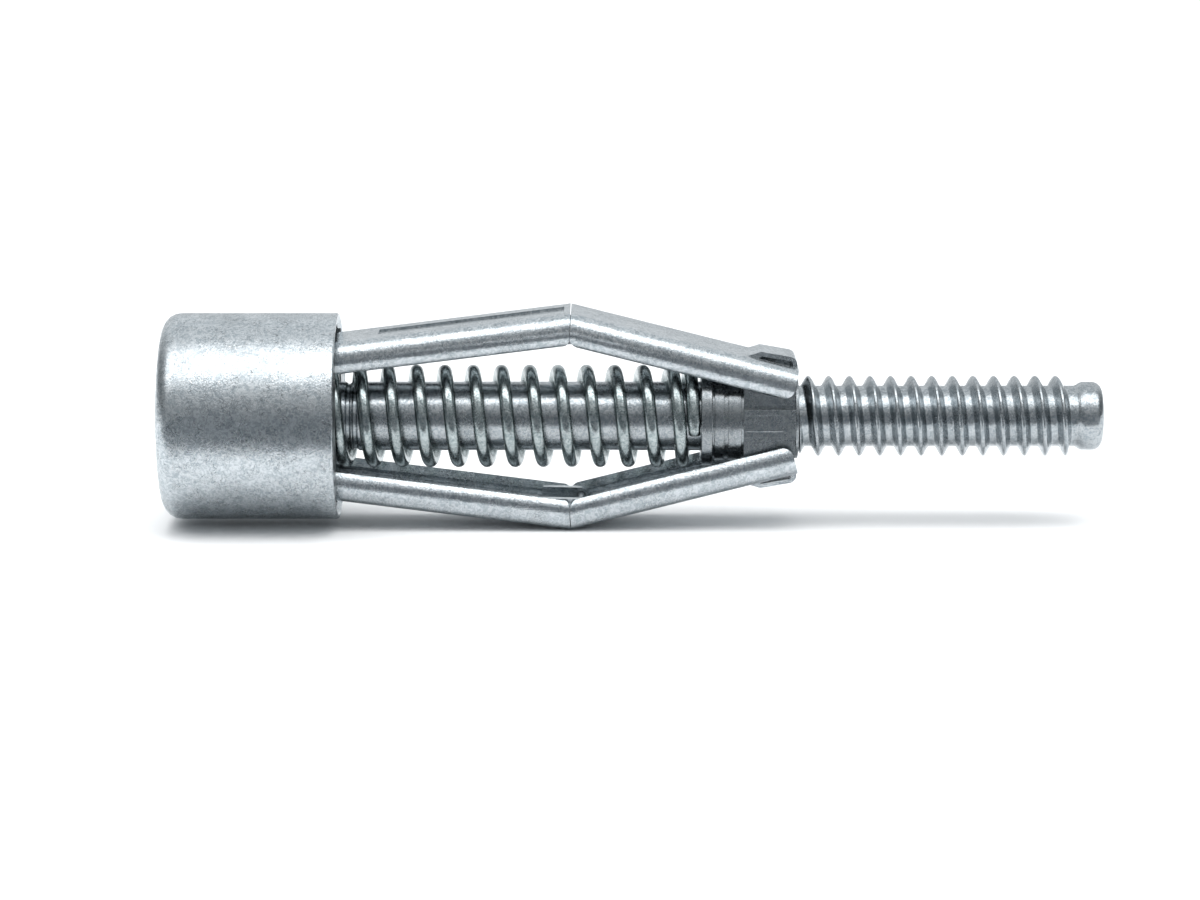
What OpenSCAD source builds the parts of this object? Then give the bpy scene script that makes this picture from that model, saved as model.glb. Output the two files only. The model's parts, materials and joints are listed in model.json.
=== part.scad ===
// Spring toggle bolt: a reduced-shank stud carries a drawn cap, a compression spring
// and a sliding collar. Two jointed arms, hinged at the knee, spread as the collar
// closes on the cap. X runs along the stud, the arms lie in the XZ plane, and the
// origin is on the axis at the collar's outer face. Millimetres.

/* [Stud] */
// Major diameter of the thread
stud_d = 6; // [5.5:0.1:6.4]
// Length of the threaded stretch beyond the collar
thread_len = 20; // [12:0.5:30]
// Length of the plain tip beyond the thread
tip_len = 2.7; // [1.5:0.1:4]
// Diameter of the plain tip
tip_d = 5.1; // [4:0.1:5.4]
// Diameter of the shank inside the spring
shank_d = 5.15; // [4.6:0.05:5.3]
// Diameter of the head inside the cap
head_d = 9; // [7.5:0.1:11]
// Thickness of the head
head_t = 1.7; // [1.2:0.1:2.5]

/* [Cap] */
// Outside diameter of the cap
cap_d = 15.38; // [15.2:0.02:18]
// Length of the cap
cap_len = 13.05; // [9:0.05:18]
// Distance from the collar's outer face back to the cap's mouth
mouth_back = 34.23; // [30:0.05:44]
// Sheet thickness of the cap
cap_wall = 0.6; // [0.4:0.05:0.7]
// Outside radius of the closed end's corner
cap_corner = 1.32; // [0.8:0.02:2.5]
// Chamfer inside the mouth
mouth_chamfer = 0.35; // [0.2:0.05:0.4]
// Rounding of the mouth's outer edge
mouth_round = 0.2; // [0.1:0.02:0.25]

/* [Arms] */
// Outside width of the rolled channels
arm_w = 7.2; // [6.8:0.1:7.4]
// Height of the rolled flanges
flange_h = 2.28; // [2.2:0.02:2.6]
// How far the flanges roll under past upright, in degrees
flange_roll = 50; // [35:1:60]
// Sheet thickness of the arms
arm_t = 0.75; // [0.6:0.05:0.8]
// Distance from the collar's outer face back to the knee's crease
knee_back = 16.9; // [14:0.1:20]
// Distance from the axis to the knee's crease
knee_rise = 8.15; // [7.9:0.05:9]
// Depth of the pressed panel in the rear links
panel_depth = 0.15; // [0.05:0.01:0.2]
// Width of the pressed panel
panel_w = 2.2; // [1.5:0.1:3]
// Width of the raised strap at the front links' ends
strap_w = 3.6; // [2.5:0.1:4.4]
// Sheet thickness of the raised strap
strap_t = 0.32; // [0.3:0.01:0.4]
// Height of the strap over the web
strap_rise = 0.7; // [0.5:0.05:0.8]

/* [Pivots] */
// Depth of the knee pin under the front link's web
knee_depth = 1.45; // [1.4:0.01:1.5]
// Radius of the knee pins
knee_pin_r = 0.32; // [0.25:0.01:0.34]
// Depth of the collar pins under the front link's web
collar_pin_depth = 1.5; // [1.45:0.01:1.55]
// Distance from the collar's outer face back to the collar pins
collar_pin_back = 1.1; // [1:0.05:1.4]
// Distance from the axis to the collar pins
collar_pin_z = 2.63; // [2.55:0.01:2.8]
// Radius of the collar pins
collar_pin_r = 0.35; // [0.25:0.01:0.38]
// Depth of the rear pins under the rear link's web
rear_pin_depth = 1.15; // [1.1:0.01:1.2]
// Distance of the rear pins inside the cap's mouth
rear_pin_in = 0.8; // [0.75:0.05:1]
// Distance from the axis to the rear pins
rear_pin_z = 4.71; // [4.6:0.01:5]
// Radius of the rear pins
rear_pin_r = 0.4; // [0.3:0.01:0.42]
// Run of the slots that the rear pins slide in
slot_run = 0.8; // [0.7:0.05:1]

/* [Spring] */
// Wire diameter
wire_d = 1; // [0.8:0.02:1.05]
// Outside diameter of the coils
spring_d = 7.68; // [7.4:0.02:7.9]
// Pitch of the open coils
coil_pitch = 2.112; // [1.6:0.01:2.8]
// Angle at which the first coil starts
coil_phase = 355; // [0:5:355]
// Thickness of the washer at the collar's end of the spring
front_washer_t = 0.85; // [0.5:0.05:1.2]
// Thickness of the washer at the cap's end of the spring
rear_washer_t = 0.5; // [0.3:0.05:1]
// Diameter of the spring washers
washer_d = 7.5; // [7:0.1:7.8]

/* [Collar] */
// Distance from the collar's outer face back to its spring end
collar_len = 6.39; // [5.8:0.05:8]
// Distance from the outer face back to the start of the block
block_back = 4.08; // [3.6:0.02:4.6]
// Diameter of the turned rings
ring_d = 6.7; // [6.4:0.1:7]
// Diameter of the grooves between the rings
groove_d = 6.4; // [6.34:0.02:6.5]
// Thickness of the thrust washer at the outer face
thrust_t = 0.25; // [0.2:0.01:0.3]
// Diameter of the thrust washer
thrust_d = 6.32; // [6.32:0.02:6.5]
// Distance from the axis to the face of the boss on each side of the block
boss_half = 3.3; // [3.2:0.05:3.4]
// Height of the bosses
boss_h = 2.1; // [1.8:0.1:2.2]
// Length of the recess pressed in each boss
recess_len = 2.85; // [2:0.05:3]
// Height of the recess
recess_h = 1.2; // [1:0.1:1.4]
// Depth of the recess
recess_depth = 0.12; // [0.05:0.01:0.15]

/* [Fits] */
// Radial clearance of the pins and the sliding shank
run_gap = 0.04; // [0.02:0.01:0.08]
// Clearance between nested sheets
side_gap = 0.1; // [0.06:0.01:0.15]
// Gap on each side of the knee's seam
seam_gap = 0.03; // [0.02:0.01:0.06]
// Radial gap of pressed pieces
press_gap = 0.01; // [0.005:0.005:0.02]

/* [Hidden] */
$fn = 64;
ZINC = [0.74, 0.77, 0.79];
STEEL = [0.62, 0.65, 0.67];
BIG = 40;
CUT = 0.5;

shank_r = shank_d / 2;
bore_r = shank_r + run_gap;
half_w = arm_w / 2;
inner_w = half_w - arm_t;
fold_r = flange_h / (1 + sin(flange_roll));
web_half = half_w - fold_r;
lip_half = web_half + (fold_r - arm_t) * cos(flange_roll);

// a link's pin lies at a known place, a known depth under its web: how far along the web
// it lies from the crease, and the slope that puts it there
function pin_along(dx, dz, depth) = sqrt(dx * dx + dz * dz - depth * depth);
function link_slope(dx, dz, depth) = atan2(dz, dx) - atan2(depth, pin_along(dx, dz, depth));

front_dx = knee_back - collar_pin_back;
front_dz = knee_rise - collar_pin_z;
front_slope = link_slope(front_dx, front_dz, collar_pin_depth);
collar_pin_in = pin_along(front_dx, front_dz, collar_pin_depth);
rear_pin_x = -(mouth_back + rear_pin_in);
rear_dx = -knee_back - rear_pin_x;
rear_dz = knee_rise - rear_pin_z;
rear_slope = link_slope(rear_dx, rear_dz, rear_pin_depth);
rear_pin_along = pin_along(rear_dx, rear_dz, rear_pin_depth);

// knee: the seam halves the bend, and the pin stands inside the front link's flange
seam_lean = (rear_slope + front_slope) / 2;
knee_r = flange_h - knee_depth;
knee_in = knee_depth * tan(seam_lean) + knee_r + seam_gap;
bend = rear_slope + front_slope;
knee_in_rear = knee_in * cos(bend) - knee_depth * sin(bend);
knee_depth_rear = knee_in * sin(bend) + knee_depth * cos(bend);
ear_gap = 0.08;
ear_r = knee_depth - arm_t - ear_gap;
ear_t = 0.7;
ear_out = lip_half - side_gap;
ear_back = 2.4;
web_gap = 0.03;
blind = 0.4;

// front link: from the crease to just short of the collar's outer face
end_gap = 0.03;
front_len = (knee_back - end_gap) / cos(front_slope);
thin_len = 0.85;
thin_t = 0.34;
strap_in = 0.12;
strap_end = front_len - strap_in;
strap_len = 3.75;
strap_foot = 0.3;

// rear link: from the crease to behind its pin, inside the cap
rear_tail = 0.7;

// hinge ring and head, behind the mouth
cap_in_r = cap_d / 2 - cap_wall;
tail_reach = norm([rear_tail, flange_h - rear_pin_depth]);
tail_gap = 0.15;
plate_face = rear_pin_x - tail_reach - slot_run - tail_gap;
ring_inset = 0.05;
ring_face = -mouth_back - ring_inset;
plate_t = 1.3;
flange_drop = 0.6;
slot_low = rear_pin_z - (flange_h - rear_pin_depth) - flange_drop;
slot_half = half_w + side_gap;
pin_gap = 0.12;
slot_r = rear_pin_r + pin_gap;
slot_lift = 0.06;
ring_r = cap_in_r - press_gap;
pin_inset = 0.3;
rear_pin_half = sqrt(pow(ring_r, 2) - pow(rear_pin_z + rear_pin_r, 2)) - pin_inset;
coil_gap = 0.2;
ring_bore_r = spring_d / 2 + coil_gap;

// collar
knuckle_r = collar_pin_depth - arm_t - side_gap;
block_half = lip_half - side_gap;
block_top = collar_pin_z + knuckle_r;
collar_pin_start = 1.7;

// spring
spring_start = plate_face + rear_washer_t;
spring_end = -collar_len - front_washer_t;
coil_r = (spring_d - wire_d) / 2;
closed_gap = 0.03;
closed_pitch = wire_d + closed_gap;
open_len = spring_end - spring_start - wire_d - 2 * closed_pitch;
open_turns = open_len / coil_pitch;
coil_steps = 20;
wire_sides = 8;

// a solid of revolution about X, from a profile of [radius, distance along X]
module about_x() {
    rotate([0, 90, 0]) rotate_extrude() children();
}

// a straight rod along X between two stations
module rod_x(r, from, to) {
    translate([from, 0, 0]) rotate([0, 90, 0]) cylinder(h = to - from, r = r);
}

// a round pin across the arms, centred on Y
module pin_y(r, half, x, z) {
    translate([x, 0, z]) rotate([90, 0, 0]) cylinder(h = 2 * half, r = r, center = true);
}

// a side profile in XZ, extruded across Y between two distances from the middle plane
module side_plate(y_in, y_out) {
    for (s = [-1, 1])
        translate([0, s * (y_in + y_out) / 2, 0]) rotate([90, 0, 0])
            linear_extrude(height = y_out - y_in, center = true) children();
}

module side_slab(half) {
    rotate([90, 0, 0]) linear_extrude(height = 2 * half, center = true) children();
}

// the section of an arm, its web's outer face on z = 0: a flat web whose edges roll round
// and under
module channel_section() {
    under = [cos(flange_roll), -sin(flange_roll)];
    for (s = [0, 1])
        mirror([s, 0]) translate([web_half, -fold_r]) difference() {
            circle(fold_r);
            circle(fold_r - arm_t);
            polygon([[0, 0], [0, BIG], [-BIG, BIG], [-BIG, -BIG], BIG * under]);
        }
    translate([-web_half, -arm_t]) square([2 * web_half, arm_t]);
}

module channel(from, to) {
    translate([from, 0, 0]) rotate([90, 0, 90]) linear_extrude(height = to - from)
        channel_section();
}

// the front link's outline from the side: the knee is round about its pin, and the
// collar end has a rounded inner corner
module front_outline() {
    corner = 0.8;
    translate([knee_in, -knee_depth]) circle(knee_r);
    polygon([[seam_gap, CUT], [seam_gap, 0],
        [knee_in - knee_r, -knee_depth], [knee_in, -knee_depth],
        [knee_in, -flange_h - CUT], [front_len - corner, -flange_h - CUT],
        [front_len - corner, -flange_h + corner], [front_len, -flange_h + corner],
        [front_len, CUT]]);
    translate([front_len - corner, -flange_h + corner]) circle(corner);
}

// the strap lanced out of the web at the collar's end
module strap_outline() {
    wrap_r = 0.62;
    wrap_z = strap_rise - wrap_r;
    wrap_x = strap_end - wrap_r;
    in_r = wrap_r - strap_t;
    start = strap_end - strap_len;
    ramp = 0.9;
    ramp_drop = 0.16;
    ramp_rise = strap_rise - ramp_drop;
    polygon(concat(
        [[start, -arm_t], [start, 0], [start + ramp, ramp_rise]],
        [for (a = [90:-15:0]) [wrap_x + wrap_r * cos(a), wrap_z + wrap_r * sin(a)]],
        [[strap_end, -thin_t], [strap_end - strap_t, -thin_t]],
        [for (a = [0:15:90]) [wrap_x + in_r * cos(a), wrap_z + in_r * sin(a)]],
        [[start + ramp + side_gap, ramp_rise - strap_t], [start + strap_foot, -arm_t]]));
}

module front_link_flat() {
    window = strap_len - strap_foot - strap_t;
    difference() {
        intersection() {
            channel(-CUT, front_len + CUT);
            side_slab(half_w + CUT) front_outline();
        }
        translate([strap_end - strap_t - window, -strap_w / 2, -arm_t - CUT])
            cube([window, strap_w, arm_t + 2 * CUT]);
        translate([front_len - thin_len, -lip_half, -arm_t - CUT])
            cube([thin_len + CUT, 2 * lip_half, arm_t - thin_t + CUT]);
        pin_y(knee_pin_r + run_gap, inner_w + blind + run_gap, knee_in, -knee_depth);
        pin_y(collar_pin_r + run_gap, inner_w + blind + run_gap,
            collar_pin_in, -collar_pin_depth);
    }
    side_slab(strap_w / 2) strap_outline();
}

// the rear link's outline from the side: square to the seam at the knee, with a rounded
// inner corner, and round about its pin inside the cap
module rear_outline() {
    corner = 0.45;
    lean = tan(seam_lean);
    foot = -seam_gap - (flange_h - corner) * lean;
    tail_r = flange_h - rear_pin_depth;
    polygon([[-seam_gap, CUT], [-seam_gap, 0], [foot, -flange_h + corner],
        [foot - corner, -flange_h + corner], [foot - corner, -flange_h - CUT],
        [-rear_pin_along, -flange_h - CUT], [-rear_pin_along, -rear_pin_depth],
        [-rear_pin_along - rear_tail, -rear_pin_depth], [-rear_pin_along - rear_tail, CUT]]);
    translate([foot - corner, -flange_h + corner]) circle(corner);
    intersection() {
        translate([-rear_pin_along, -rear_pin_depth]) circle(tail_r);
        translate([-rear_pin_along - rear_tail, -BIG]) square([rear_tail + CUT, BIG]);
    }
}

// the ears that reach past the seam, inside the front link's flanges
module ear_outline() {
    top = -arm_t - web_gap;
    bottom = -knee_depth_rear - ear_r;
    into_web = 0.2;
    shoulder = 0.35;
    translate([knee_in_rear, -knee_depth_rear]) circle(ear_r);
    polygon([[-ear_back, top + into_web], [-shoulder, top],
        [knee_in_rear - ear_r * sin(bend), -knee_depth_rear + ear_r * cos(bend)],
        [knee_in_rear, -knee_depth_rear], [knee_in_rear, bottom],
        [-ear_back, -flange_h + into_web]]);
}

module rear_link_flat() {
    panel_from = 4;
    panel_to = 0.5;
    joggle_in = 0.85;
    joggle_low = 0.4;
    difference() {
        union() {
            intersection() {
                channel(-rear_pin_along - rear_tail - CUT, CUT);
                side_slab(half_w + CUT) rear_outline();
            }
            side_plate(ear_out - ear_t, ear_out) ear_outline();
            side_plate(ear_out - ear_t, inner_w + arm_t / 2)
                translate([-ear_back, -flange_h + joggle_low])
                    square([ear_back - joggle_in, flange_h - arm_t / 2 - joggle_low]);
        }
        translate([-rear_pin_along + panel_from, -panel_w / 2, -panel_depth])
            cube([rear_pin_along - panel_from - panel_to, panel_w, panel_depth + CUT]);
        pin_y(knee_pin_r + run_gap, half_w + CUT, knee_in_rear, -knee_depth_rear);
        pin_y(rear_pin_r + press_gap, half_w + CUT, -rear_pin_along, -rear_pin_depth);
    }
}

// places what is drawn from the crease: side 1 is the upper arm, -1 the lower
module at_front(side) {
    mirror([0, 0, side < 0 ? 1 : 0]) translate([-knee_back, 0, knee_rise])
        rotate([0, front_slope, 0]) children();
}

module at_rear(side) {
    mirror([0, 0, side < 0 ? 1 : 0]) translate([-knee_back, 0, knee_rise])
        rotate([0, -rear_slope, 0]) children();
}

module front_link(side) {
    color(ZINC) at_front(side) front_link_flat();
}

module rear_link(side) {
    color(ZINC) at_rear(side) rear_link_flat();
}

module knee_pin(side) {
    color(STEEL) at_front(side) pin_y(knee_pin_r, inner_w + blind, knee_in, -knee_depth);
}

module rear_pin(side) {
    color(STEEL) pin_y(rear_pin_r, rear_pin_half, rear_pin_x, side * rear_pin_z);
}

module collar_pins(side) {
    half = (inner_w + blind - collar_pin_start) / 2;
    color(STEEL) for (s = [-1, 1])
        translate([0, s * (collar_pin_start + half), 0])
            pin_y(collar_pin_r, half, -collar_pin_back, side * collar_pin_z);
}

module cup_profile(r, len, corner) {
    square([r, len - corner]);
    square([r - corner, len]);
    translate([r - corner, len - corner]) circle(corner);
}

module cap() {
    in_corner = cap_corner - cap_wall;
    color(ZINC) translate([-mouth_back, 0, 0]) mirror([1, 0, 0]) about_x() intersection() {
        difference() {
            union() {
                translate([0, mouth_round])
                    cup_profile(cap_d / 2, cap_len - mouth_round, cap_corner);
                square([cap_d / 2 - mouth_round, cap_len / 2]);
                translate([cap_d / 2 - mouth_round, mouth_round]) circle(mouth_round);
            }
            translate([0, -CUT]) cup_profile(cap_in_r, cap_len - cap_wall + CUT, in_corner);
            polygon([[0, -CUT], [cap_in_r + mouth_chamfer + CUT, -CUT],
                [cap_in_r, mouth_chamfer], [0, mouth_chamfer]]);
        }
        square([cap_d, cap_len]);
    }
}

module rod() {
    head_x = plate_face - plate_t;
    lead = 0.9;
    tip_round = 0.8;
    neck_in = 0.25;
    neck_r = tip_d / 2 - neck_in;
    neck_taper = 0.05;
    color(ZINC) {
        rod_x(head_d / 2, head_x - head_t, head_x);
        rod_x(shank_r, head_x - CUT, CUT);
        rod_x(stud_d / 2, 0, thread_len);
        translate([thread_len, 0, 0]) rotate([0, 90, 0])
            cylinder(h = lead, r1 = neck_r - neck_taper, r2 = neck_r);
        translate([thread_len + lead, 0, 0]) rotate([0, 90, 0])
            cylinder(h = tip_len - lead - tip_round, r1 = neck_r, r2 = tip_d / 2);
        translate([thread_len + tip_len - tip_round, 0, 0]) about_x() intersection() {
            union() {
                square([tip_d / 2 - tip_round, tip_round]);
                translate([tip_d / 2 - tip_round, 0]) circle(tip_round);
            }
            square([tip_d, tip_d]);
        }
    }
}

// carries the rear links' pins, and takes the head's pull to the cap
module hinge_ring() {
    color(STEEL) difference() {
        rod_x(ring_r, plate_face - plate_t, ring_face);
        rod_x(shank_r + press_gap, plate_face - BIG, 0);
        rod_x(ring_bore_r, plate_face, 0);
        for (s = [-1, 1]) {
            translate([plate_face, -slot_half, s > 0 ? slot_low : -BIG - slot_low])
                cube([BIG, 2 * slot_half, BIG]);
            for (x = [0, -slot_run])
                pin_y(slot_r, BIG, rear_pin_x + x, s * (rear_pin_z + slot_lift));
            translate([rear_pin_x - slot_run, -BIG,
                s * (rear_pin_z + slot_lift) - slot_r])
                cube([slot_run, 2 * BIG, 2 * slot_r]);
        }
    }
}

module washer(outer_r, hole_r, from, to) {
    difference() {
        rod_x(outer_r, from, to);
        rod_x(hole_r, from - CUT, to + CUT);
    }
}

module rear_spring_washer() {
    color(STEEL) washer(washer_d / 2, bore_r, plate_face, plate_face + rear_washer_t);
}

module front_spring_washer() {
    color(ZINC) washer(washer_d / 2, bore_r, -collar_len - front_washer_t, -collar_len);
}

module thrust_washer() {
    color(ZINC) washer(thrust_d / 2, bore_r, -thrust_t, 0);
}

// station of the wire's centre after a number of turns: a closed coil, the open coils at
// their pitch, and a closed coil again
function coil_x(turns) = spring_start + wire_d / 2
    + min(turns, 1) * closed_pitch
    + max(0, min(turns - 1, open_turns)) * coil_pitch
    + max(0, turns - 1 - open_turns) * closed_pitch;

module spring() {
    total = open_turns + 2;
    rings = ceil(total * coil_steps);
    points = [for (i = [0:rings]) let (t = total * i / rings, a = coil_phase + 360 * t)
        for (j = [0:wire_sides - 1]) let (b = 360 * j / wire_sides,
            r = coil_r + wire_d / 2 * cos(b))
            [coil_x(t) + wire_d / 2 * sin(b), r * cos(a), r * sin(a)]];
    sides = [for (i = [0:rings - 1]) for (j = [0:wire_sides - 1])
        let (k = (j + 1) % wire_sides, n = i * wire_sides, m = n + wire_sides)
        [n + j, m + j, m + k, n + k]];
    ends = [[for (j = [0:wire_sides - 1]) j],
        [for (j = [wire_sides - 1:-1:0]) rings * wire_sides + j]];
    color(STEEL) polyhedron(points = points, faces = concat(sides, ends), convexity = 20);
}

module collar() {
    ring_r1 = ring_d / 2;
    groove = 0.3;
    first = 0.72;
    end_step = 0.15;
    block_step = 0.2;
    recess_in = 0.08;
    color(ZINC) difference() {
        union() {
            rod_x(groove_d / 2, -collar_len, -block_back);
            rod_x(ring_r1, -collar_len + end_step, -collar_len + end_step + first);
            rod_x(ring_r1, -collar_len + end_step + first + groove, -block_back - block_step);
            translate([-block_back, -block_half, -block_top])
                cube([block_back - collar_pin_back, 2 * block_half, 2 * block_top]);
            translate([-collar_pin_back, -block_half, -collar_pin_z])
                cube([collar_pin_back - thrust_t, 2 * block_half, 2 * collar_pin_z]);
            translate([-block_back, -boss_half, -boss_h / 2])
                cube([block_back - thrust_t, 2 * boss_half, boss_h]);
            for (s = [-1, 1])
                pin_y(knuckle_r, block_half, -collar_pin_back, s * collar_pin_z);
        }
        rod_x(bore_r, -BIG, CUT);
        for (s = [-1, 1]) {
            mirror([0, s < 0 ? 1 : 0, 0])
                translate([-block_back + recess_in, boss_half - recess_depth, -recess_h / 2])
                    cube([recess_len, BIG, recess_h]);
            for (z = [-1, 1])
                translate([0, s * (collar_pin_start + BIG / 2), 0])
                    pin_y(collar_pin_r + press_gap, BIG / 2, -collar_pin_back, z * collar_pin_z);
        }
    }
}

module upper_front_link() front_link(1);
module lower_front_link() front_link(-1);
module upper_rear_link() rear_link(1);
module lower_rear_link() rear_link(-1);
module upper_knee_pin() knee_pin(1);
module lower_knee_pin() knee_pin(-1);
module upper_rear_pin() rear_pin(1);
module lower_rear_pin() rear_pin(-1);
module upper_collar_pins() collar_pins(1);
module lower_collar_pins() collar_pins(-1);

cap();
rod();
hinge_ring();
rear_spring_washer();
spring();
front_spring_washer();
collar();
thrust_washer();
upper_front_link();
lower_front_link();
upper_rear_link();
lower_rear_link();
upper_knee_pin();
lower_knee_pin();
upper_rear_pin();
lower_rear_pin();
upper_collar_pins();
lower_collar_pins();
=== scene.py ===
"""Spring toggle bolt: the finish of every piece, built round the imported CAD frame.

Lengths are in metres. X runs along the stud, Z is up, and the camera looks along +Y.
"""

import json
import math

import bmesh
import bpy
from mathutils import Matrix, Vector

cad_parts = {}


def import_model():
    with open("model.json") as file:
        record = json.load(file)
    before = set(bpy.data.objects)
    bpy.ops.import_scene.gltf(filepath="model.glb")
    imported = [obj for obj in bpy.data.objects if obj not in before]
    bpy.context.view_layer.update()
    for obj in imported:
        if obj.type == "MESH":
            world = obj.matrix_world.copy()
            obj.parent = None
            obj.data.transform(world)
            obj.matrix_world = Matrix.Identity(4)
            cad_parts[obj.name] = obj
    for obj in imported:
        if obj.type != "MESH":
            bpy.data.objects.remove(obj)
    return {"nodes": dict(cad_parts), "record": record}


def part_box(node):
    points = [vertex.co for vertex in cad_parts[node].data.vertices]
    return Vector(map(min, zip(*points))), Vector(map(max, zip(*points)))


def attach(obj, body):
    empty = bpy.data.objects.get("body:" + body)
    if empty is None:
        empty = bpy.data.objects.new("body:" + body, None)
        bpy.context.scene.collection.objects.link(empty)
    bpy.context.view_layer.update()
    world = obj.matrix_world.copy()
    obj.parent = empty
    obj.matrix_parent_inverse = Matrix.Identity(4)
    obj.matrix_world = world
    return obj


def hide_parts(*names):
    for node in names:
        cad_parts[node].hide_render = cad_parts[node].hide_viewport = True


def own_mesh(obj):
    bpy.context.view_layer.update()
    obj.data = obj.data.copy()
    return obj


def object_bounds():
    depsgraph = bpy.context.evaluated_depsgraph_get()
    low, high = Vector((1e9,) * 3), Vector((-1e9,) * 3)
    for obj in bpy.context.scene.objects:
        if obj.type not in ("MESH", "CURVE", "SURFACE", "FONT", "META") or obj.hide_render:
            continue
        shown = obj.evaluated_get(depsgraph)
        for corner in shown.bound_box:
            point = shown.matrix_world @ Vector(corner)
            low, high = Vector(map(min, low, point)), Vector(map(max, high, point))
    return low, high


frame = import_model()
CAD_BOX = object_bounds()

MM = 0.001
TURN = 2 * math.pi
QUARTER = TURN / 4

# how finely the round pieces are cut
ROUND = 128  # segments round the stud
CAP_ROUND = 256
FILLET_STEPS = 5
BEVEL_STEPS = 3

# when points are one point, when faces are one flat face, and when an edge is sharp
WELD = 1e-7
CAD_WELD = 1e-6
FLAT_ANGLE = math.radians(0.6)
SHARP_ANGLE = math.radians(28)

# thread, which the CAD model leaves as a plain cylinder
THREAD_PITCH = 1.54 * MM
THREAD_ROOT_R = 2.27 * MM
CREST_HALF = 0.56 * MM
CREST_POWER = 0.8  # below 1 it makes the crest fuller than a cosine wave
FIRST_CREST = 0.84 * MM
CREST_POINTS = 14
ROOT_POINTS = 5
RUN_OUT = 0.3 * MM
THREAD_START = 0.0
THREAD_EXTRA = 0.35 * MM  # past the length that the mount promises

# the rest of the stud; an edge or a foot is the radius of a rounded corner
SHANK_R = 2.575 * MM
SHANK_EDGE = 0.05 * MM
SHANK_TAPER = 0.2 * MM  # its step down to the thread's root
HEAD_LENGTH = 1.7 * MM
HEAD_BACK_EDGE = 0.3 * MM
HEAD_FRONT_EDGE = 0.15 * MM
HEAD_FOOT = 0.2 * MM
GROOVES_PAST_CAP = (0.78 * MM, 1.28 * MM)
GROOVE_DEPTH = 0.14 * MM
GROOVE_HALF = 0.22 * MM
GROOVE_BED_HALF = 0.1 * MM
GROOVE_BED_EDGE = 0.04 * MM
TIP_R = 2.55 * MM
TIP_EDGE = 0.72 * MM
NECK_LENGTH = 0.35 * MM  # at root radius, between the thread and the tip
NECK_FOOT = 0.3 * MM
SHOULDER_LENGTH = 0.25 * MM  # each of the two slopes from the neck up to the tip
SHOULDER_DROP = 0.12 * MM
SHOULDER_FOOT = 0.12 * MM
SHOULDER_EDGE = 0.1 * MM

# spring, along the same path as the CAD model's
WIRE_D = 1.0 * MM
COIL_PITCH = 2.112 * MM
CLOSED_PITCH = WIRE_D * 1.03
COIL_PHASE = math.radians(355)
COIL_STEPS = 48
WIRE_SIDES = 20
WIRE_END_SHARE = 0.9  # the wire's radius at its two cut ends, against the rest

CAP_WALL = 0.6 * MM
CAP_CORNER = 1.32 * MM
MOUTH_EDGE = 0.3 * MM
MOUTH_CHAMFER_LENGTH = 0.33 * MM
MOUTH_CHAMFER_RISE = 0.28 * MM
MOUTH_LIP_EDGE = 0.05 * MM
MOUTH_BORE_EDGE = 0.08 * MM

# the marks in every metal's surface
NOISE_LOW, NOISE_HIGH = 0.3, 0.7  # most of a noise lies between these
CLOUD_SIZE = 3.2 * MM
CLOUD_SHADE = 0.9  # brightness of the dull patches, against the clean ones
STREAK_WIDTH = 0.16 * MM
STREAK_SQUEEZE = 0.06  # of the pattern along X, which draws it out
CROOKED_HALF = 0.035  # half width of a crooked line, in the noise it follows
FINE_SHARE = 0.55  # of the bumps' height; the coarser grain has the rest
GLOSS_SPREAD = 0.03

# base colours of the metals
ZINC_LIGHT = (0.72, 0.755, 0.775)
ZINC_DARK = (0.46, 0.51, 0.54)
WIRE_LIGHT = (0.56, 0.61, 0.61)
WIRE_DARK = (0.3, 0.355, 0.36)
MARK_DARK = (0.08, 0.09, 0.095)
BLACK = (0.0, 0.0, 0.0, 1)
WHITE = (1, 1, 1, 1)

RECORD = frame["record"]
BODY_OF = {n: body for body, names in RECORD["behaviour"]["bodies"].items() for n in names}
STUD = next(m for m in RECORD["mounts"] if m["name"] == "stud")["dims"]


# ---------------------------------------------------------------- mesh helpers


def shown(name, mesh):
    """A smooth-shaded object of a mesh, linked into the scene."""
    for polygon in mesh.polygons:
        polygon.use_smooth = True
    piece = bpy.data.objects.new(name, mesh)
    bpy.context.scene.collection.objects.link(piece)
    return piece


def mesh_object(name, points, faces):
    """An object of these points and faces, with doubled points merged."""
    mesh = bpy.data.meshes.new(name)
    mesh.from_pydata(points, [], faces)
    tidy = bmesh.new()
    tidy.from_mesh(mesh)
    bmesh.ops.remove_doubles(tidy, verts=tidy.verts, dist=WELD)
    bmesh.ops.dissolve_degenerate(tidy, dist=WELD, edges=tidy.edges)
    bmesh.ops.recalc_face_normals(tidy, faces=tidy.faces)
    tidy.to_mesh(mesh)
    tidy.free()
    return shown(name, mesh)


def filleted(corners):
    """The line through corners, each an (x, r, fillet), with its corners turned to arcs."""
    line = []
    for i, (x, r, fillet) in enumerate(corners):
        here = Vector((x, r))
        if fillet == 0:
            line.append(here)
            continue
        back = Vector(corners[i - 1][:2]) - here
        ahead = Vector(corners[i + 1][:2]) - here
        half = back.angle(ahead) / 2
        longest = 0.49  # of either side, so that two arcs never meet
        reach = min(fillet / math.tan(half), longest * back.length, longest * ahead.length)
        radius = reach * math.tan(half)
        middle = here + (back.normalized() + ahead.normalized()).normalized() * radius / math.sin(half)
        first = here + back.normalized() * reach - middle
        last = here + ahead.normalized() * reach - middle
        sweep = first.angle_signed(last)
        for step in range(FILLET_STEPS + 1):
            turn = -sweep * step / FILLET_STEPS
            c, s = math.cos(turn), math.sin(turn)
            line.append(middle + Vector((first.x * c - first.y * s, first.x * s + first.y * c)))
    return [tuple(p) for p in line]


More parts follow.
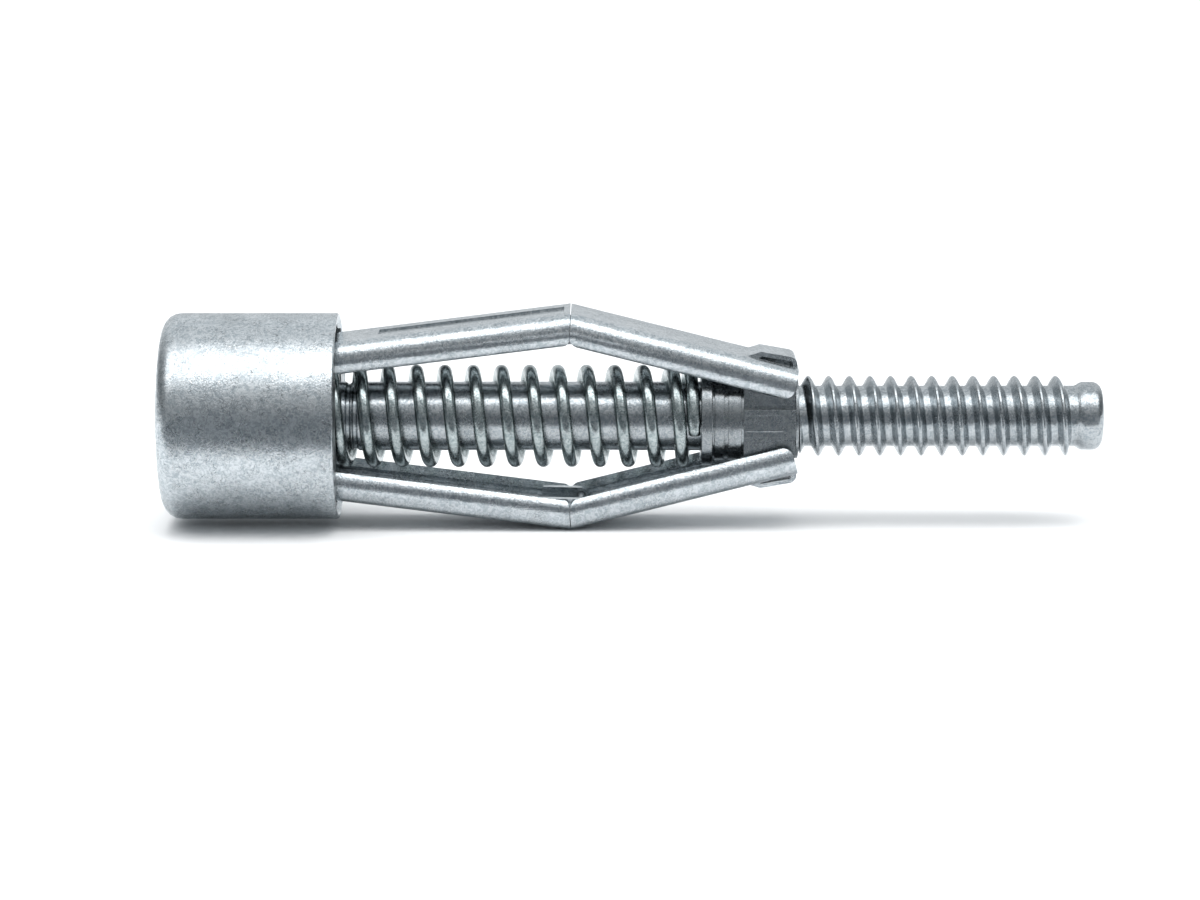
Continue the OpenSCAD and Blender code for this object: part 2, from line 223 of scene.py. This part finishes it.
def ring(x, r, segments):
    """Points round the X axis at one station."""
    angles = [TURN * i / segments for i in range(segments)]
    return [(x, r * math.cos(angle), r * math.sin(angle)) for angle in angles]


def band_faces(rings, sides):
    """Faces between each ring of points and the next one."""
    faces = []
    for i in range(rings - 1):
        here, ahead = i * sides, (i + 1) * sides
        for j in range(sides):
            k = (j + 1) % sides
            faces.append((here + j, ahead + j, ahead + k, here + k))
    return faces


def lathe(line, segments):
    """Points and faces of a line of (x, r) turned round the X axis."""
    return [p for x, r in line for p in ring(x, r, segments)], band_faces(len(line), segments)


def joined(*parts):
    """Several (points, faces) as one."""
    points, faces = [], []
    for more_points, more_faces in parts:
        start = len(points)
        points += more_points
        faces += [tuple(start + i for i in face) for face in more_faces]
    return points, faces


def rounded_copy(node, width):
    """A copy of a CAD node's mesh with its sharp edges rounded off."""
    mesh = frame["nodes"][node].data.copy()
    for name in ("custom_normal", "sharp_edge", "sharp_face"):
        if name in mesh.attributes:
            mesh.attributes.remove(mesh.attributes[name])
    tidy = bmesh.new()
    tidy.from_mesh(mesh)
    bmesh.ops.remove_doubles(tidy, verts=tidy.verts, dist=CAD_WELD)
    bmesh.ops.dissolve_limit(
        tidy,
        angle_limit=FLAT_ANGLE,
        verts=tidy.verts,
        edges=tidy.edges,
        use_dissolve_boundaries=False,
    )
    tidy.to_mesh(mesh)
    tidy.free()
    piece = shown(node + "_skin", mesh)
    bevel = piece.modifiers.new("rounded", "BEVEL")
    bevel.width = width
    bevel.segments = BEVEL_STEPS
    bevel.limit_method = "ANGLE"
    bevel.angle_limit = SHARP_ANGLE
    bevel.harden_normals = True
    return piece


def place(piece, material, slot, *nodes):
    """Gives a piece its material, and makes it stand for CAD nodes and ride with them."""
    piece.data.materials.clear()
    piece.data.materials.append(material)
    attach(piece, BODY_OF[nodes[0]])
    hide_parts(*nodes)


# ---------------------------------------------------------------- materials


class Nodes:
    """Adds shader nodes to a tree, each input either a plain value or another node's output."""

    def __init__(self, tree):
        self.tree = tree

    def feed(self, socket, value):
        """Links an output into a socket, or sets the socket to a plain value."""
        if isinstance(value, bpy.types.NodeSocket):
            self.tree.links.new(value, socket)
        else:
            socket.default_value = value

    def add(self, kind, settings=None, **inputs):
        """A node with its settings and its inputs, their spaces written as underscores."""
        made = self.tree.nodes.new("ShaderNode" + kind)
        for name, value in (settings or {}).items():
            setattr(made, name, value)
        for name, value in inputs.items():
            self.feed(made.inputs[name.replace("_", " ")], value)
        return made

    def noise(self, where, size, detail=3.0, roughness=0.6, distortion=0.0):
        """Noise whose marks are about size across."""
        made = self.add("TexNoise", Vector=where, Scale=1 / size, Detail=detail)
        self.feed(made.inputs["Roughness"], roughness)
        self.feed(made.inputs["Distortion"], distortion)
        return made.outputs["Fac"]

    def ramp(self, value, low, high, to_low=0.0, to_high=1.0):
        """A smooth change from to_low to to_high as value goes from low to high."""
        made = self.add("MapRange", {"interpolation_type": "SMOOTHSTEP"}, Value=value)
        limits = {"From Min": low, "From Max": high, "To Min": to_low, "To Max": to_high}
        for name, number in limits.items():
            made.inputs[name].default_value = number
        return made.outputs["Result"]

    def math(self, operation, a, b=0):
        """The result of one operation on two numbers, or on the first alone."""
        made = self.add("Math", {"operation": operation})
        self.feed(made.inputs[0], a)
        self.feed(made.inputs[1], b)
        return made.outputs[0]

    def mix(self, share, a, b):
        """A colour between a and b."""
        made = self.add("Mix", {"data_type": "RGBA"})
        factor, first, second = made.inputs[0], made.inputs[6], made.inputs[7]
        self.feed(factor, share)
        self.feed(first, a)
        self.feed(second, b)
        return made.outputs[2]


def shaded(colour, shade=1.0):
    """A colour darkened by shade, with the fourth number that a socket wants."""
    return (*(part * shade for part in colour), 1)


def crooked_marks(nodes, where, size):
    """Thin crooked lines in scattered places: 1 on a line and 0 off it."""
    wandering = nodes.noise(where, size * 2.8, detail=2, roughness=0.5, distortion=2.2)
    off_line = nodes.math("ABSOLUTE", nodes.math("SUBTRACT", wandering, 0.5))
    lines = nodes.math("SUBTRACT", 1.0, nodes.ramp(off_line, 0.0, CROOKED_HALF))
    places = nodes.ramp(nodes.noise(where, size * 6, detail=2), 0.42, 0.62)
    return nodes.math("MULTIPLY", lines, places)


def plated_metal(name, light, dark, gloss, grain, grain_size, streaks=0.0, scratches=0.5):
    """Plated or drawn steel: fine grain, cloudy patches, crooked dark marks, streaks along X.

    gloss is the roughness of its clean and its dull patches, grain the height of the
    surface's bumps, and scratches how dark the marks are.
    """
    material = bpy.data.materials.new(name)
    material.use_nodes = True
    tree = material.node_tree
    tree.nodes.clear()
    nodes = Nodes(tree)
    where = nodes.add("TexCoord").outputs["Object"]
    fine = nodes.noise(where, grain_size, detail=4, roughness=0.7)
    coarse = nodes.noise(where, grain_size * 2.4, distortion=1.6)
    clouds = nodes.noise(where, CLOUD_SIZE, roughness=0.55)
    drawn = nodes.add("Mapping", Vector=where, Scale=(STREAK_SQUEEZE, 1, 1)).outputs[0]
    lines = nodes.noise(drawn, STREAK_WIDTH)
    patchy = nodes.ramp(clouds, NOISE_LOW, NOISE_HIGH)

    specks = nodes.mix(nodes.ramp(coarse, 0.36, 0.62), dark, light)
    marks = nodes.math("MULTIPLY", crooked_marks(nodes, where, grain_size), scratches)
    marked = nodes.mix(marks, specks, shaded(MARK_DARK))
    colour = nodes.mix(nodes.ramp(patchy, 0, 1, CLOUD_SHADE, 1.0), BLACK, marked)

    clean, dull = gloss
    uneven = nodes.ramp(fine, NOISE_LOW, NOISE_HIGH, -GLOSS_SPREAD, GLOSS_SPREAD)
    roughness = nodes.math("ADD", nodes.ramp(patchy, 0, 1, dull, clean), uneven)

    fine_bumps = nodes.math("MULTIPLY", fine, FINE_SHARE)
    coarse_bumps = nodes.math("MULTIPLY", coarse, 1 - FINE_SHARE)
    grainy = nodes.math("ADD", fine_bumps, coarse_bumps)
    height = nodes.math("ADD", grainy, nodes.math("MULTIPLY", lines, streaks))
    bump = nodes.add("Bump", Strength=1.0, Distance=grain, Height=height).outputs[0]

    surface = nodes.add(
        "BsdfPrincipled", Base_Color=colour, Roughness=roughness, Normal=bump, Metallic=1.0
    )
    nodes.add("OutputMaterial", Surface=surface.outputs[0])
    return material


def zinc(name, shade, gloss=(0.2, 0.3), grain=0.016 * MM, grain_size=0.15 * MM, **marks):
    """Bright zinc plating with a bluish tinge. shade darkens it."""
    light, dark = shaded(ZINC_LIGHT, shade), shaded(ZINC_DARK, shade)
    return plated_metal(name, light, dark, gloss, grain, grain_size, **marks)


def spring_wire(name):
    """Drawn spring wire, darker and greener than the sheet."""
    light, dark = shaded(WIRE_LIGHT), shaded(WIRE_DARK)
    return plated_metal(name, light, dark, gloss=(0.17, 0.28), grain=0.01 * MM, grain_size=0.12 * MM)


# ---------------------------------------------------------------- pieces


def thread_lift(along):
    """How high the thread stands this far from a crest's middle: 0 at its root, 1 on top."""
    if abs(along) >= CREST_HALF:
        return 0
    return (0.5 + 0.5 * math.cos(math.pi * along / CREST_HALF)) ** CREST_POWER


def thread_part(start, stop):
    """A right-hand helical thread between two stations, its crests fading at both ends."""
    major = STUD["r_mm"] * MM
    crest = [-CREST_HALF + 2 * CREST_HALF * i / CREST_POINTS for i in range(CREST_POINTS + 1)]
    root = (THREAD_PITCH - 2 * CREST_HALF) / (ROOT_POINTS + 1)
    steps = crest + [CREST_HALF + root * (i + 1) for i in range(ROOT_POINTS)]
    per_turn = len(steps)
    turns = math.ceil((stop - start) / THREAD_PITCH) + 2  # with a spare turn at each end

    points = []
    for k in range(turns * per_turn + 1):
        along = steps[k % per_turn]
        for j in range(ROUND):
            angle = TURN * j / ROUND
            lead = (angle - QUARTER) / TURN * THREAD_PITCH
            x = FIRST_CREST + lead + along + (k // per_turn - 1) * THREAD_PITCH
            fade = min(1, max(0, x - start) / RUN_OUT, max(0, stop - x) / RUN_OUT)
            r = THREAD_ROOT_R + (major - THREAD_ROOT_R) * thread_lift(along) * math.sin(fade * QUARTER)
            x = min(max(x, start), stop)
            points.append((x, r * math.cos(angle), r * math.sin(angle)))

    faces = []
    to_next_turn = (per_turn - 1) * ROUND + 1  # from the last column to the first, a pitch on
    for k in range(turns * per_turn):
        for j in range(ROUND):
            here, ahead = k * ROUND + j, (k + 1) * ROUND + j
            beside = 1 if j < ROUND - 1 else to_next_turn
            face = (here, ahead, ahead + beside, here + beside)
            if max(face) >= len(points):
                continue
            stations = {round(points[i][0], 9) for i in face}
            if len(stations) > 1:  # else it is pressed flat against an end
                faces.append(face)
    return points, faces


def groove(middle):
    """The corners of one groove rolled into the shank."""
    bed_r = SHANK_R - GROOVE_DEPTH
    return [
        (middle - GROOVE_HALF, SHANK_R, SHANK_EDGE),
        (middle - GROOVE_BED_HALF, bed_r, GROOVE_BED_EDGE),
        (middle + GROOVE_BED_HALF, bed_r, GROOVE_BED_EDGE),
        (middle + GROOVE_HALF, SHANK_R, SHANK_EDGE),
    ]


def stud_piece():
    """Head, shank with its rolled grooves, thread and plain tip, as one turned piece."""
    low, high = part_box("rod")
    head_r, head_back, tip = high.z, low.x, high.x
    head_front = head_back + HEAD_LENGTH
    thread_end = STUD["length_mm"] * MM + THREAD_EXTRA
    neck_end = thread_end + NECK_LENGTH
    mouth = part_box("cap")[1].x

    back = [
        (head_back, 0.0, 0),
        (head_back, head_r, HEAD_BACK_EDGE),
        (head_front, head_r, HEAD_FRONT_EDGE),
        (head_front, SHANK_R, HEAD_FOOT),
    ]
    for past in GROOVES_PAST_CAP:
        back += groove(mouth + past)
    back += [(THREAD_START - SHANK_TAPER, SHANK_R, SHANK_EDGE), (THREAD_START, THREAD_ROOT_R, 0)]
    front = [
        (thread_end, THREAD_ROOT_R, 0),
        (neck_end, THREAD_ROOT_R, NECK_FOOT),
        (neck_end + SHOULDER_LENGTH, TIP_R - SHOULDER_DROP, SHOULDER_FOOT),
        (neck_end + 2 * SHOULDER_LENGTH, TIP_R, SHOULDER_EDGE),
        (tip, TIP_R, TIP_EDGE),
        (tip, 0.0, 0),
    ]
    thread = thread_part(THREAD_START, thread_end)
    return mesh_object(
        "stud_skin", *joined(lathe(filleted(back), ROUND), thread, lathe(filleted(front), ROUND))
    )


def spring_piece():
    """The coil spring, with one closed turn at each end, where it starts and its length."""
    low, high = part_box("spring")
    coil_r = (high.z - low.z) / 2 - WIRE_D / 2
    open_turns = (high.x - low.x - WIRE_D - 2 * CLOSED_PITCH) / COIL_PITCH

    def station(turns):
        """Where the wire's centre is after a number of turns."""
        open_part = max(0.0, min(turns - 1, open_turns)) * COIL_PITCH
        closed_part = (min(turns, 1) + max(0.0, turns - 1 - open_turns)) * CLOSED_PITCH
        return low.x + WIRE_D / 2 + open_part + closed_part

    total = open_turns + 2
    count = math.ceil(total * COIL_STEPS)
    points = []
    for i in range(count + 1):
        turns = total * i / count
        angle = COIL_PHASE + TURN * turns
        near_end = min(i, count - i) <= 1
        wire_r = WIRE_D / 2 * (WIRE_END_SHARE if near_end else 1)
        for j in range(WIRE_SIDES):
            round_wire = TURN * j / WIRE_SIDES
            x = station(turns) + wire_r * math.sin(round_wire)
            r = coil_r + wire_r * math.cos(round_wire)
            points.append((x, r * math.cos(angle), r * math.sin(angle)))
    faces = band_faces(count + 1, WIRE_SIDES)
    for cut_end in (0, count):
        faces.append(tuple(cut_end * WIRE_SIDES + j for j in range(WIRE_SIDES)))
    return mesh_object("spring_skin", points, faces), low.x, high.x - low.x


def cap_piece():
    """The drawn cup, with a soft corner, a rounded mouth and a chamfer inside it."""
    low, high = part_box("cap")
    r, back, mouth = high.z, low.x, high.x
    inner_r = r - CAP_WALL
    line = [
        (back, 0.0, 0),
        (back, r, CAP_CORNER),
        (mouth, r, MOUTH_EDGE),
        (mouth, inner_r + MOUTH_CHAMFER_RISE, MOUTH_LIP_EDGE),
        (mouth - MOUTH_CHAMFER_LENGTH, inner_r, MOUTH_BORE_EDGE),
        (back + CAP_WALL, inner_r, CAP_CORNER - CAP_WALL),
        (back + CAP_WALL, 0.0, 0),
    ]
    return mesh_object("cap_skin", *lathe(filleted(line), CAP_ROUND))


# ---------------------------------------------------------------- stage


def overhead_light(place_at, size, power):
    """A soft box above the bolt, aimed at the frame's origin."""
    data = bpy.data.lights.new("overhead", "AREA")
    data.shape = "RECTANGLE"
    data.size, data.size_y = size
    data.energy = power
    light = bpy.data.objects.new("overhead", data)
    light.location = place_at
    light.rotation_mode = "QUATERNION"
    light.rotation_quaternion = (-Vector(place_at)).to_track_quat("-Z", "Y")
    bpy.context.scene.collection.objects.link(light)


def floor_fill(strength):
    """Even light on the floor, which the metal doesn't mirror."""
    data = bpy.data.lights.new("fill", "SUN")
    data.energy = strength
    data.angle = math.radians(50)
    light = bpy.data.objects.new("fill", data)
    light.visible_glossy = False
    bpy.context.scene.collection.objects.link(light)


def plain_material(name, colour, roughness):
    """A dull material of one colour, for the floor and the card."""
    material = bpy.data.materials.new(name)
    material.use_nodes = True
    surface = material.node_tree.nodes["Principled BSDF"]
    surface.inputs["Base Color"].default_value = colour
    surface.inputs["Roughness"].default_value = roughness
    surface.inputs["Specular IOR Level"].default_value = 0.1
    return material


def floor(height):
    """A white floor, a little dimmer in the metal's reflections, where it would glare."""
    half = 3.0
    white, mirrored_white = shaded((0.93, 0.93, 0.93)), shaded((0.8, 0.81, 0.82))
    corners = [(-half, -half, height), (half, -half, height), (half, half, height), (-half, half, height)]
    plane = mesh_object("floor", corners, [(0, 1, 2, 3)])
    material = plain_material("floor_white", white, 0.9)
    nodes = Nodes(material.node_tree)
    mirrored = nodes.add("LightPath").outputs["Is Glossy Ray"]
    surface = material.node_tree.nodes["Principled BSDF"]
    nodes.feed(surface.inputs["Base Color"], nodes.mix(mirrored, white, mirrored_white))
    plane.data.materials.append(material)


def front_card(height):
    """A low grey card in front of the object, which only its reflections see."""
    left, right, front, top = -95 * MM, 70 * MM, -19.5 * MM, 4.5 * MM
    corners = [(left, front, height), (right, front, height), (right, front, top), (left, front, top)]
    card = mesh_object("card", corners, [(0, 1, 2, 3)])
    card.data.materials.append(plain_material("card_grey", shaded((0.285, 0.3, 0.315)), 1.0))
    card.visible_camera = False
    card.visible_diffuse = False
    card.visible_shadow = False


def sky_colour(nodes):
    """Studio walls and ceiling: dim low in front, grey behind, and darker to either side."""
    # each stop is an angle in half turns, from the front horizon over the top to the back
    # one, and the brightness there
    stops = (
        (0.0, 0.24),
        (0.1, 0.34),
        (0.2, 0.6),
        (0.29, 0.85),
        (0.52, 0.85),
        (0.56, 0.86),
        (0.85, 0.84),
        (1.0, 0.7),
    )
    red, blue = 0.96, 1.03  # against green, for a cool grey
    direction = nodes.add("TexCoord").outputs["Generated"]
    part = nodes.add("SeparateXYZ", Vector=direction)
    front = nodes.math("MULTIPLY", part.outputs["Y"], -1.0)
    turn = nodes.math("DIVIDE", nodes.math("ARCTAN2", part.outputs["Z"], front), math.pi)
    ramp = nodes.add("ValToRGB", Fac=turn)
    bands = ramp.color_ramp.elements
    while len(bands) < len(stops):
        bands.new(0.5)
    for band, (angle, light) in zip(bands, stops):
        band.position = angle
        band.color = (light * red, light, light * blue, 1)
    sideways = nodes.ramp(nodes.math("ABSOLUTE", part.outputs["X"]), 0.45, 0.95)
    return nodes.mix(sideways, ramp.outputs["Color"], shaded((0.2, 0.215, 0.225)))


def world():
    """The studio sky, white where the camera sees it."""
    made = bpy.data.worlds.new("studio")
    made.use_nodes = True
    bpy.context.scene.world = made
    made.node_tree.nodes.clear()
    nodes = Nodes(made.node_tree)
    seen = nodes.add("LightPath").outputs["Is Camera Ray"]
    colour = nodes.mix(seen, sky_colour(nodes), WHITE)
    back = nodes.add("Background", Color=colour, Strength=1.0)
    nodes.add("OutputWorld", Surface=back.outputs[0])


def camera():
    """A long lens 11 degrees above the bolt, square to its side."""
    distance, rise = 292 * MM, math.radians(11)
    aim = Vector((-14.74 * MM, 0, -2.6 * MM))
    data = bpy.data.cameras.new("camera")
    data.sensor_width = 36
    data.lens = 117
    data.clip_start, data.clip_end = 0.01, 20
    view = bpy.data.objects.new("camera", data)
    back = Vector((0, -math.cos(rise), math.sin(rise)))
    view.location = aim + back * distance
    view.rotation_mode = "QUATERNION"
    view.rotation_quaternion = (-back).to_track_quat("-Z", "Y")
    bpy.context.scene.collection.objects.link(view)
    bpy.context.scene.camera = view


def stage():
    """Floor, card, sky, lights and camera."""
    bottom = CAD_BOX[0].z
    floor(bottom)
    front_card(bottom)
    world()
    camera()
    overhead_light(place_at=(0, -160 * MM, 470 * MM), size=(1.0, 0.34), power=1.8)
    floor_fill(strength=1.6)
    bpy.context.scene.view_settings.view_transform = "Standard"


# ---------------------------------------------------------------- assembly


def build():
    """Every piece with its finish, the collar and its washers in zinc darkened as painted shade; the
    width after a node's name rounds its edges.
    """
    cap_zinc = zinc("cap_zinc", 0.98, grain=0.03 * MM, scratches=0.85)
    stud_zinc = zinc("stud_zinc", 0.76, gloss=(0.18, 0.28), grain=0.014 * MM)
    # painted shade: the collar and its two washers sit between the arms, so their zinc is darkened to 0.6
    # of the bright plating, as if in the arms' shadow
    collar_zinc = zinc("collar_zinc", 0.6, grain=0.01 * MM, grain_size=0.1 * MM)
    arm_zinc = zinc("arm_zinc", 0.98, gloss=(0.17, 0.27), grain=0.02 * MM, streaks=0.5, scratches=0.5)
    inner_steel = zinc("inner_steel", 0.5, gloss=(0.28, 0.4))
    pin_steel = zinc("pin_steel", 0.7)
    wire = spring_wire("spring_steel")

    place(cap_piece(), cap_zinc, "cap_zinc", "cap")
    place(stud_piece(), stud_zinc, "stud_zinc", "rod")
    spring, spring_start, spring_len = spring_piece()
    place(spring, wire, "spring_steel", "spring")
    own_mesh(spring)

    for side in ("upper", "lower"):
        for link in ("front_link", "rear_link"):
            node = f"{side}_{link}"
            place(rounded_copy(node, 0.05 * MM), arm_zinc, "arm_zinc", node)
    turned = (("collar", 0.09 * MM), ("front_spring_washer", 0.1 * MM), ("thrust_washer", 0.05 * MM))
    for node, width in turned:
        place(rounded_copy(node, width), collar_zinc, "collar_zinc", node)
    hidden = (("rear_spring_washer", 0.08 * MM), ("hinge_ring", 0.05 * MM))
    for node, width in hidden:
        place(rounded_copy(node, width), inner_steel, "inner_steel", node)
    for node in BODY_OF:
        if node.endswith(("_pin", "_pins")):
            place(rounded_copy(node, 0.05 * MM), pin_steel, "pin_steel", node)


build()
stage()
